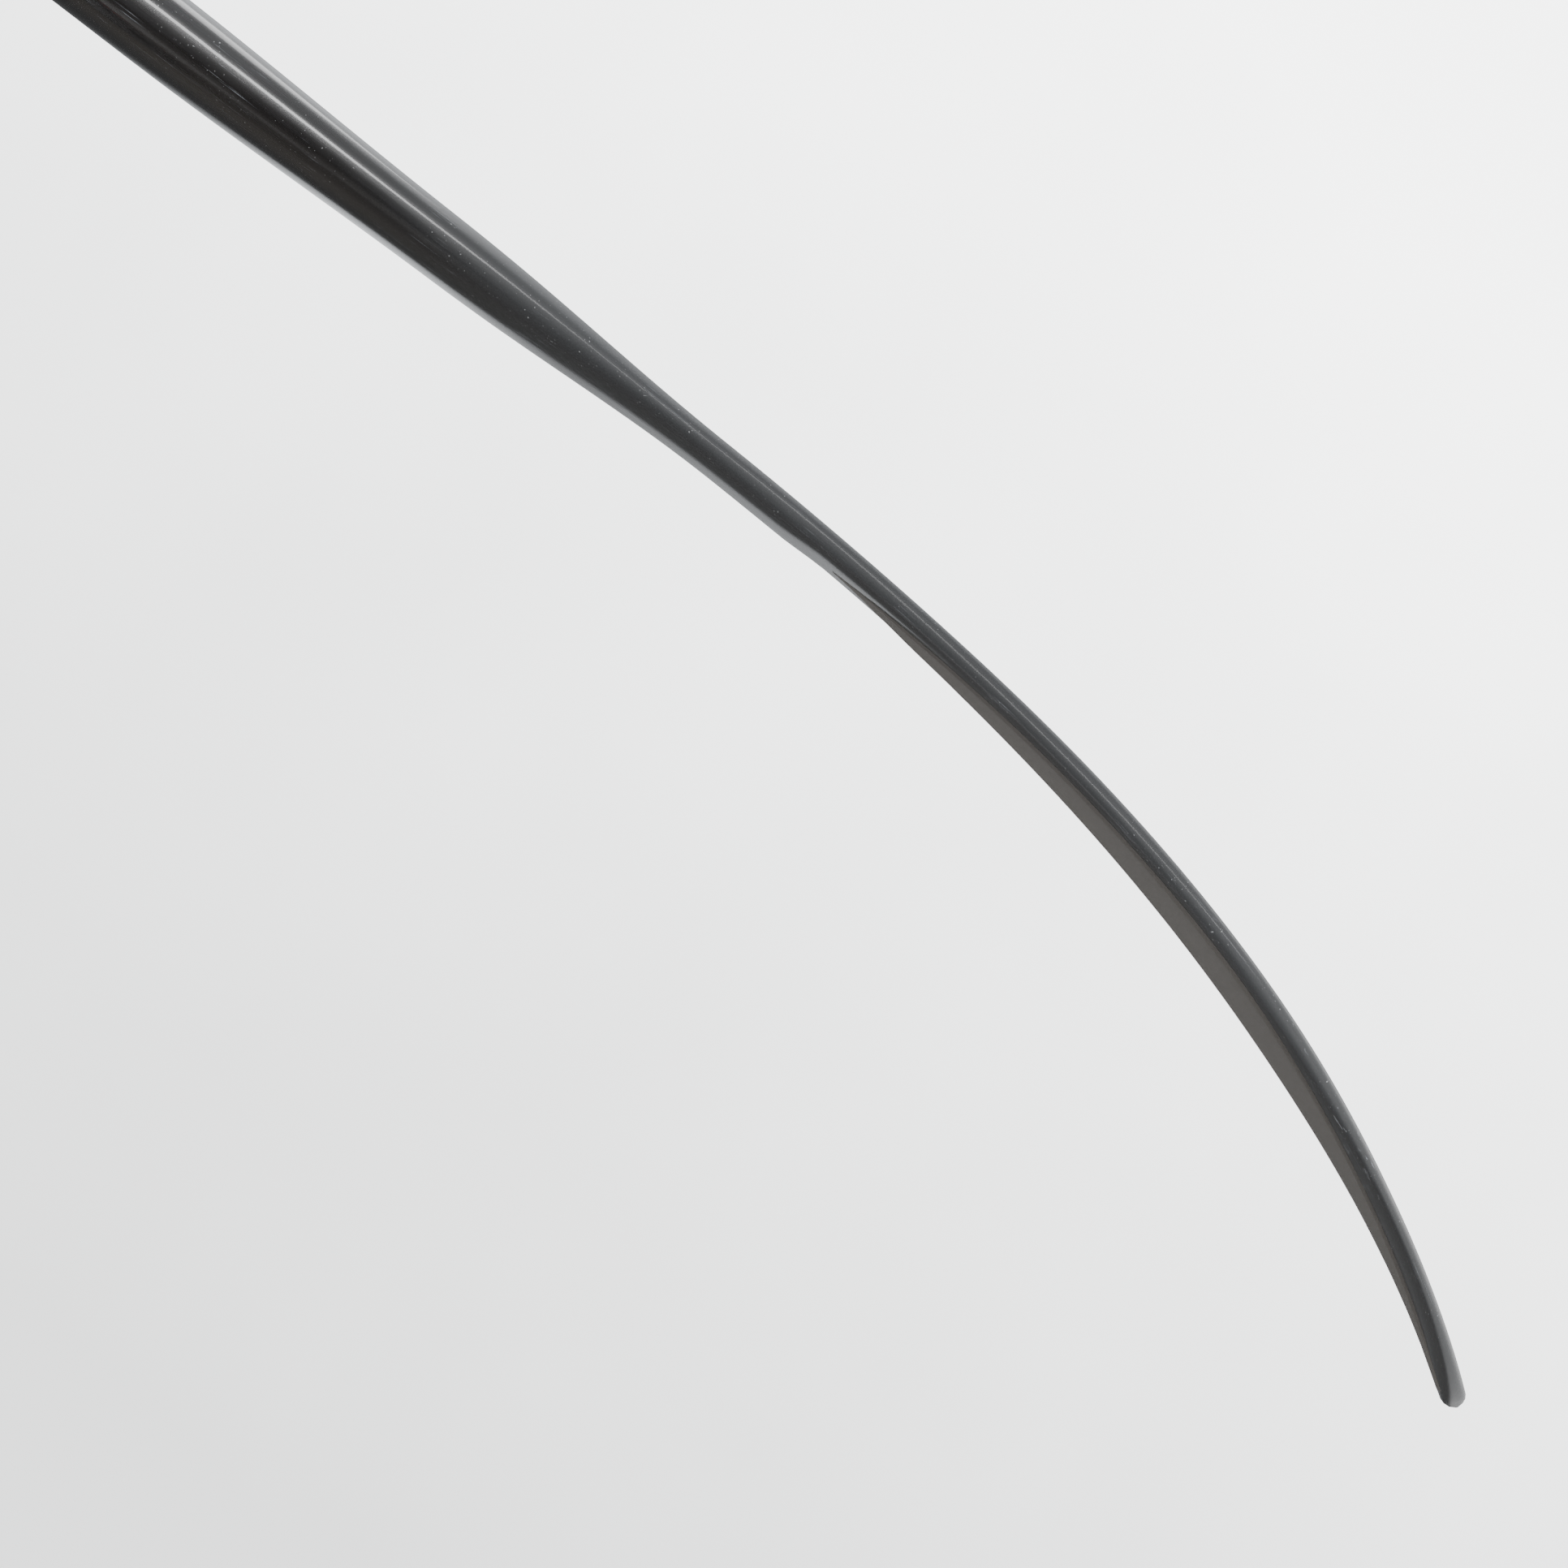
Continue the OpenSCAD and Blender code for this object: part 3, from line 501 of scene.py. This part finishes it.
# The sheet's own normals may face either way, so the side that it grows to is read off
outward = sum(face.normal.dot(blade_point(forefoot_at, 0, 1) - blade_point(forefoot_at, 0, 0))
              for face in ply.data.polygons)
add_modifier(ply, "SOLIDIFY", thickness=bedded_t * MM, offset=-1 if outward > 0 else 1)
face_outwards(ply)
smooth(ply, 50)
matt_ply, tone = new_finish("matt_grey_ply")
place = tone.add("TexCoord", None, None, "Object")
strip = tone.add("UVMap", {"uv_map": "UVMap"})
grain = noise(place, 3800, 2, 0.6)
patches = noise(place, 30, 3)
weave_wave = noise(scaled(strip, (700, 2600, 1)), 1.0, 2)
base = patches.mix((0.054, 0.050, 0.046, 1), (0.064, 0.060, 0.055, 1))
base = (grain.rise(0.35, 0.7) * 0.5).mix(base, (0.086, 0.080, 0.074, 1))
base = (weave_wave.rise(0.5, 0.8) * 0.3).mix(base, (0.038, 0.036, 0.034, 1))
close_finish(tone, {
    "Base Color": base, "Roughness": 0.72 + 0.12 * grain, "Specular IOR Level": 0.35,
    "Normal": bump(grain + weave_wave * 0.6, 0.00008, 0.5)})
ply.data.materials.append(matt_ply)
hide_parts("dorsal_ply")
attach(ply, "blade")


# ---- Hardware that keeps its CAD shape ----
# Machined pieces are copied from the CAD, and their sharp corners are eased with a
# small bevel as a deburring wheel leaves them. Each gets its metal below.
def eased_copy(node, name, body, width=0.25, segments=2):
    clear_selection()
    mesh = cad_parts[node].data.copy()
    mesh.materials.clear()
    piece = bpy.data.objects.new(name, mesh)
    scene.collection.objects.link(piece)
    bpy.context.view_layer.objects.active = piece
    piece.select_set(True)
    bpy.ops.object.mode_set(mode="EDIT")
    bpy.ops.mesh.select_all(action="SELECT")
    bpy.ops.mesh.remove_doubles(threshold=0.000002)
    bpy.ops.mesh.dissolve_limited(angle_limit=math.radians(0.4))
    bpy.ops.object.mode_set(mode="OBJECT")
    if width:
        add_modifier(piece, "BEVEL", width=width * MM, segments=segments,
                     limit_method="ANGLE", angle_limit=math.radians(34), use_clamp_overlap=True)
    smooth(piece, 32)
    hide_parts(node)
    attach(piece, body)
    return piece


def coated(name, colour, roughness, metallic, grain=(1, 1, 1), fleck=0.15, scale=900):
    """A machined or anodised finish with fine grain, soft patches and worn specks."""
    material, tone = new_finish(name)
    place = tone.add("TexCoord", None, None, "Object")
    lines = noise(scaled(place, grain), scale, 3, 0.6)
    patch = noise(place, 55, 3)
    specks = noise(place, 1500, 1).rise(0.70, 0.76)
    light = tuple(min(1, c * 1.35 + 0.01) for c in colour)
    dark = tuple(c * 0.8 for c in colour)
    base = patch.mix((*dark, 1), (*colour, 1))
    base = (lines.rise(0.4, 0.75) * 0.45).mix(base, (*light, 1))
    base = (specks * fleck).mix(base, (0.45, 0.45, 0.46, 1))
    close_finish(tone, {
        "Base Color": base, "Metallic": metallic,
        "Roughness": roughness + 0.14 * lines + 0.08 * patch,
        "Normal": bump(lines, 0.00003, 0.5)})
    return material


black_anodised = coated("black_anodised", (0.018, 0.018, 0.020), 0.34, 0.6, (1, 1, 1), 0.2)
bright_alloy = coated("brushed_alloy", (0.56, 0.57, 0.59), 0.26, 1.0, (1, 1, 0.06), 0.0, 1600)
bolt_steel = coated("bolt_steel", (0.42, 0.42, 0.43), 0.24, 1.0, (1, 1, 1), 0.05, 1200)
turned_steel = coated("turned_steel", (0.50, 0.50, 0.52), 0.2, 1.0, (0.08, 0.08, 1), 0.03, 2600)
red_anodised = coated("red_anodised", (0.42, 0.022, 0.018), 0.26, 0.75, (1, 1, 1), 0.1, 1200)
rubber = coated("seal_rubber", (0.012, 0.012, 0.012), 0.62, 0.0, (1, 1, 1), 0.1, 1400)

hardware = [
    ("clamp_plate", "blade_clamp_plate", "blade", "black_alloy", 0.7, black_anodised),
    ("blade_bolts", "blade_bolt_pair", "blade", "steel", 0.45, bolt_steel),
    ("bolt_washers", "bolt_washer_pair", "blade", "alloy", 0.25, bright_alloy),
    ("slot_nuts", "slot_nut_pair", "blade", "steel", 0.4, bolt_steel),
    ("slot_rail", "slotted_rail", "socket", "alloy", 0.5, bright_alloy),
    ("rail_screws", "rail_screw_set", "socket", "steel", 0.12, bolt_steel),
    ("lock_body", "lock_housing", "socket", "black_alloy", 0.4, black_anodised),
    ("lock_cover", "lock_top_plate", "socket", "alloy", 0.3, bright_alloy),
    ("cover_screws", "cover_screw_set", "socket", "steel", 0.1, bolt_steel),
    ("lock_seal", "face_seal", "socket", "seal_rubber", 0.3, rubber),
    ("gear_axle", "axle_rod", "socket", "steel", 0.2, turned_steel),
    ("one_way_clutch", "clutch_drum", "socket", "black_alloy", 0.2, black_anodised),
    ("button_bezel", "button_surround", "socket", "black_alloy", 0.5, black_anodised),
    ("ratchet_gear", "pinion_gear", "gear", "steel", 0.08, bolt_steel),
    ("release_button", "push_button", "button", "red_alloy", 0.3, red_anodised),
    ("lock_pin", "toothed_pin", "liner", "steel", 0.12, turned_steel),
    ("liner_cap", "liner_end_cap", "liner", "alloy", 0.4, bright_alloy),
]
for node, name, body, slot_name, width, finish in hardware:
    piece = eased_copy(node, name, body, width)
    piece.data.materials.append(finish)


# ---- Button spring ----
# A coil of spring steel wire in a counterbore behind the release button, closed at
# both ends.
spring_low, spring_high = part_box("button_spring")
wire_r, coil_turns = 0.0005, 5
spring_middle = (spring_low + spring_high) / 2
coil_r = (spring_high.x - spring_low.x) / 2 - wire_r
coil_len = spring_high.y - spring_low.y - 2 * wire_r
clear_selection()
bpy.ops.mesh.primitive_circle_add(vertices=12, radius=wire_r, location=(0, 0, 0))
spring = bpy.context.object
spring.name = spring.data.name = "return_spring"
spring.data.transform(Matrix.Translation((coil_r, 0, 0)) @ Matrix.Rotation(math.pi / 2, 4, "X"))
add_modifier(spring, "SCREW", axis="Z", angle=math.tau * coil_turns, screw_offset=coil_len,
             steps=32 * coil_turns, render_steps=32 * coil_turns)
spring.data.transform(Matrix.Translation((spring_middle.x, spring_low.y + wire_r, spring_middle.z))
                      @ Matrix.Rotation(-math.pi / 2, 4, "X"))
face_outwards(spring, cap_ends=True)
smooth(spring, 50)
spring.data.materials.append(turned_steel)
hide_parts("button_spring")
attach(spring, "socket")
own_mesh(spring)


# ---- Outer socket ----
# The load-bearing shell: carbon twill laminated over the limb's cast, sanded at the
# rim and glossed with resin. The button, the centre bore and the adapter holes are cut.
seat_r, brim_r, socket_h, oval, widen_power = 26, 60, 200, 0.05, 0.45
brim_front, brim_side, brim_back = 186, 206, 166
inner_t, shell_t, inner_lip, nest_gap, lock_r, lock_fit = 3, 4, 8, 0.3, 30, 0.4
shell_bottom, corner_r = -38, 2.5
drain_r, adapter_pass_r, bezel_hole_r, pin_hole_r = 8, 3.3, 12.05, 9
columns = 128


def cavity_r(z, q):
    share = max(0, min(1.25, z / socket_h))
    return ((seat_r + (brim_r - seat_r) * share ** widen_power)
            * (1 - oval * min(1, share) * math.cos(2 * q)))


def brim_z(q):
    return (brim_front + (brim_back - brim_front) * (1 - math.cos(q)) / 2
            + (brim_side - (brim_front + brim_back) / 2) * math.sin(q) ** 2)


def shell_r(z, q):
    """The shell's outer radius. Its neck blends into the wider part with a soft waist."""
    return max(lock_r + lock_fit, cavity_r(z, q) + inner_t + nest_gap) + shell_t


def turned_skin(name, rings, closed=True):
    """A skin round the socket's axis through rings, each a function of the angle."""
    last = len(rings) - 1

    def spot_at(u, v):
        q = math.tau * v
        radius, z = rings[round(u * last)](q)
        return (Vector((radius * math.cos(q), radius * math.sin(q), z)) * MM,
                (q * 45 * MM, z * MM))
    return woven_skin(name, last, columns, spot_at, closed)


low_levels = [3, 5, 8, 12, 17, 22, 29, 36, 45, 55, 66, 77, 88, 100]
high_shares = [0.1, 0.2, 0.3, 0.4, 0.5, 0.6, 0.7, 0.8, 0.9, 0.97]


def level(step, q, lift=0.0):
    if step < len(low_levels):
        return low_levels[step]
    return 100 + (brim_z(q) + lift - 100) * high_shares[step - len(low_levels)]


def wall_ring(step, radius_at, lift=0.0, inset=0.0):
    def ring(q):
        z = level(step, q, lift)
        return radius_at(z, q) - inset, z
    return ring


def flat_ring(radius, z):
    return lambda q: (radius, z)


def rim_ring(radius_at, wall, angle, lift=0.0):
    """One ring of a rim rounded over from the outside to the inside."""
    def ring(q):
        z = brim_z(q) + lift
        return (radius_at(z, q) - wall / 2 + wall / 2 * math.cos(angle),
                z - wall / 2 + wall / 2 * math.sin(angle))
    return ring


steps = range(len(low_levels) + len(high_shares))
rim_angles = [math.pi * k / 8 for k in range(9)]
base_r = lock_r + lock_fit + shell_t
shell_rings = (
    [flat_ring(base_r - corner_r + corner_r * math.sin(a),
               shell_bottom + corner_r - corner_r * math.cos(a))
     for a in (0, 0.4, 0.8, 1.2, math.pi / 2)]
    + [flat_ring(base_r, z) for z in (-26, -16, -8, -1)]
    + [wall_ring(k, shell_r) for k in steps]
    + [rim_ring(shell_r, shell_t, a) for a in rim_angles]
    + [wall_ring(k, shell_r, 0, shell_t) for k in reversed(steps)]
    + [flat_ring(base_r - shell_t, z) for z in (-1, -17, shell_bottom + shell_t)])
shell = turned_skin("laminated_socket", shell_rings)


def cut_cylinder(piece, place, radius, depth, turn=None):
    """Drills piece with a round cutter, which is then thrown away."""
    clear_selection()
    bpy.ops.mesh.primitive_cylinder_add(vertices=64, radius=radius * MM, depth=depth * MM)
    cutter = bpy.context.object
    if turn:
        cutter.data.transform(turn)
    cutter.data.transform(Matrix.Translation(Vector(place)))
    add_modifier(piece, "BOOLEAN", object=cutter, operation="DIFFERENCE", solver="EXACT")
    bpy.data.objects.remove(cutter)


adapter_half = 18 * MM
shell_z = shell_bottom * MM
cut_cylinder(shell, (0, 0, shell_z), drain_r, 12)
for x in (-adapter_half, adapter_half):
    for y in (-adapter_half, adapter_half):
        cut_cylinder(shell, (x, y, shell_z), adapter_pass_r, 12)
bezel_low, bezel_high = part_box("button_bezel")
bezel_middle = (bezel_low + bezel_high) / 2
quarter = Matrix.Rotation(math.pi / 2, 4, "X")
cut_cylinder(shell, (bezel_middle.x, lock_r * MM, bezel_middle.z), bezel_hole_r, 24, quarter)
smooth(shell, 35)

weave, tone = new_finish("carbon_twill_laminate")
place = tone.add("TexCoord", None, None, "Object")
strip = tone.add("UVMap", {"uv_map": "UVMap"})
tow = 0.0021
across, upright, _ = scaled(strip, (1 / tow, 1 / tow, 1)).parts()
column_of, row_of = across.maths("FLOOR", across), across.maths("FLOOR", upright)
across_tow, up_tow = across - column_of, upright - row_of
over = ((column_of + row_of).maths("FLOORED_MODULO", column_of + row_of, 4) > 1.5)


def arched(share):
    """1 in the middle of a tow and 0 at its edges."""
    off_middle = share * 2 - 1
    return 1 - off_middle.maths("POWER", off_middle.maths("ABSOLUTE", off_middle), 2)


tow_round = over * arched(across_tow) + (1 - over) * arched(up_tow)
fibres = noise(scaled(strip, (9000, 900, 1)), 1.0, 1) * over + noise(
    scaled(strip, (900, 9000, 1)), 1.0, 1) * (1 - over)
# The cells where one set of tows lies on top are painted lighter than those where the crossing set
# does: a painted reflection, standing for the sheen that changes with the fibres' direction.
base = over.mix((0.007, 0.007, 0.008, 1), (0.034, 0.034, 0.036, 1))
base = (fibres.rise(0.45, 0.75) * 0.5).mix(base, (0.06, 0.06, 0.064, 1))
# Each tow is painted near black where it rounds down at its edges, following the same relief as
# its bump: painted shade in the grooves between the tows.
base = ((1 - tow_round.rise(0.0, 0.45)) * 0.8).mix(base, (0.004, 0.004, 0.004, 1))
resin_sag = noise(place, 22, 2)
close_finish(tone, {
    "Base Color": base, "Roughness": 0.30 + 0.15 * fibres, "Metallic": 0.15 * over,
    "Specular IOR Level": 0.5, "Coat Weight": 0.9, "Coat Roughness": 0.16,
    "Normal": bump(tow_round * 0.4 + resin_sag * 1.2, 0.00012, 0.35)})
shell.data.materials.append(weave)
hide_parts("outer_socket")
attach(shell, "socket")


# ---- Mount fairing ----
# A wedge of filler between the shell and the rail, so that the rail's face stands
# plumb behind the socket. It is bonded to the shell.
fairing = eased_copy("mount_fairing", "rail_fairing", "socket", 0.8, 3)
fairing_paint, tone = new_finish("fairing_filler")
place = tone.add("TexCoord", None, None, "Object")
pitted = noise(place, 700, 3, 0.6)
swirl = noise(scaled(place, (1, 1, 0.2)), 120, 4, 0.6)
base = swirl.mix((0.016, 0.016, 0.017, 1), (0.032, 0.032, 0.034, 1))
base = (pitted.rise(0.62, 0.72) * 0.5).mix(base, (0.07, 0.07, 0.07, 1))
close_finish(tone, {"Base Color": base, "Roughness": 0.38 + 0.2 * swirl, "Coat Weight": 0.3,
                    "Coat Roughness": 0.15, "Normal": bump(pitted + swirl, 0.0001, 0.4)})
fairing.data.materials.append(fairing_paint)


# ---- Flexible inner socket ----
# A thin thermoplastic socket drawn over the same cast. It nests in the shell, its lip
# rolls proud of the laminate, and light shows through it a little.
def inner_r(z, q):
    return cavity_r(z, q) + inner_t


inner_rings = (
    [flat_ring(seat_r - 1, -inner_t), flat_ring(seat_r + 1.6, -1.6),
     flat_ring(seat_r + inner_t - 0.5, 0)]
    + [wall_ring(k, inner_r, inner_lip) for k in steps]
    + [rim_ring(inner_r, inner_t, a, inner_lip) for a in rim_angles]
    + [wall_ring(k, inner_r, inner_lip, inner_t) for k in reversed(steps)]
    + [flat_ring(seat_r, 0)])
inner = turned_skin("flexible_socket", inner_rings)
cut_cylinder(inner, (0, 0, -inner_t / 2 * MM), pin_hole_r, 8)
smooth(inner, 35)
flexible, tone = new_finish("flexible_thermoplastic")
place = tone.add("TexCoord", None, None, "Object")
haze = noise(place, 26, 3)
draw_lines = noise(scaled(place, (1, 1, 0.05)), 420, 2)
base = haze.mix((0.50, 0.50, 0.47, 1), (0.62, 0.62, 0.60, 1))
base = (draw_lines.rise(0.5, 0.8) * 0.25).mix(base, (0.70, 0.70, 0.69, 1))
close_finish(tone, {
    "Base Color": base, "Roughness": 0.30 + 0.12 * haze, "Specular IOR Level": 0.5,
    "Subsurface Weight": 0.35, "Subsurface Radius": (0.004, 0.004, 0.0035),
    "Normal": bump(draw_lines, 0.00006, 0.4)})
inner.data.materials.append(flexible)
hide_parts("inner_socket")
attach(inner, "socket")


# ---- Gel liner ----
# A moulded gel sleeve that the wearer rolls over the limb, faced outside with stretch
# knit and bare inside. It bulges a little over its end cap and is thick all round.
liner_t, liner_top, liner_gap, cap_top = 5, 252, 0.6, 5.6
liner_heights = [9, 12, 16, 21, 27, 34, 42, 52, 64, 78, 94, 112, 132, 154, 176, 198, 220, 236, 249]


def liner_r(z, q):
    ripple = 0.25 * math.sin(z / 5.2) * rise(z, 60, 120)
    return cavity_r(z, q) - liner_gap - 0.3 + min(0, ripple)


def liner_wall(z, inset):
    return lambda q: (liner_r(z, q) - inset, z)


def liner_rim(angle):
    return lambda q: (liner_r(liner_top, q) - liner_t / 2 + liner_t / 2 * math.cos(angle),
                      liner_top - liner_t / 2 + liner_t / 2 * math.sin(angle))


liner_rings = (
    [flat_ring(seat_r - 2, cap_top), flat_ring(seat_r + 2, 6.6)]
    + [liner_wall(z, 0) for z in liner_heights]
    + [liner_rim(a) for a in rim_angles]
    + [liner_wall(z, liner_t) for z in reversed(liner_heights[4:])]
    + [flat_ring(seat_r - 2, 17), flat_ring(seat_r - 5, 13)])
liner = turned_skin("gel_sleeve", liner_rings)
smooth(liner, 50)
knit, tone = new_finish("knit_faced_gel")
place = tone.add("TexCoord", None, None, "Object")
strip = tone.add("UVMap", {"uv_map": "UVMap"})
stitch = 0.0011
across, upright, _ = scaled(strip, (1 / stitch, 1 / (stitch * 0.8), 1)).parts()
wales = across.maths("SINE", across * math.tau) * 0.5 + 0.5
courses = upright.maths("SINE", (upright + wales * 0.5) * math.tau) * 0.5 + 0.5
fuzz = noise(place, 2600, 2)
loops = wales * 0.6 + courses * 0.4
# The knit is painted darker in the hollows between its loops and lighter on their crowns,
# following the same relief as its bump: painted shade and painted highlight.
base = loops.mix((0.085, 0.088, 0.098, 1), (0.235, 0.240, 0.255, 1))
base = (fuzz.rise(0.4, 0.8) * 0.3).mix(base, (0.30, 0.30, 0.32, 1))
close_finish(tone, {"Base Color": base, "Roughness": 0.78 + 0.1 * fuzz, "Sheen Weight": 0.25,
                    "Normal": bump(loops + fuzz * 0.3, 0.0002, 0.6)})
liner.data.materials.append(knit)
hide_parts("gel_liner")
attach(liner, "liner")


# ---- Cuff band ----
# A band of ribbed knitted elastic, bonded round the top of the liner so that its rim
# doesn't tear when the wearer rolls it on.
band_low, band_high, band_out, band_in = 220, 250, 0.75, 0.05
band_heights = [band_low + (band_high - band_low) * k / 10 for k in range(11)]


def band_wall(z, lift):
    return lambda q: (cavity_r(z, q) - liner_gap + lift, z)


band_rings = ([band_wall(z, band_out) for z in band_heights]
              + [band_wall(z, band_in) for z in reversed(band_heights)]
              + [band_wall(band_heights[0], band_out)])
band = turned_skin("ribbed_cuff", band_rings)
smooth(band, 50)
ribbing, tone = new_finish("ribbed_elastic")
place = tone.add("TexCoord", None, None, "Object")
strip = tone.add("UVMap", {"uv_map": "UVMap"})
across, upright, _ = scaled(strip, (1 / 0.0022, 1 / 0.0009, 1)).parts()
ribs = across.maths("SINE", across * math.tau) * 0.5 + 0.5
rows = upright.maths("SINE", upright * math.tau) * 0.5 + 0.5
fuzz = noise(place, 2400, 2)
# The elastic is painted darker in the grooves between its ribs and lighter on their crests,
# following the same relief as its bump: painted shade and painted highlight.
base = (ribs * 0.7 + rows * 0.3).mix((0.012, 0.012, 0.014, 1), (0.055, 0.056, 0.062, 1))
base = (fuzz.rise(0.5, 0.8) * 0.3).mix(base, (0.11, 0.11, 0.12, 1))
close_finish(tone, {"Base Color": base, "Roughness": 0.82, "Sheen Weight": 0.3,
                    "Normal": bump(ribs + rows * 0.35 + fuzz * 0.2, 0.0003, 0.7)})
band.data.materials.append(ribbing)
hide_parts("cuff_band")
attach(band, "liner")
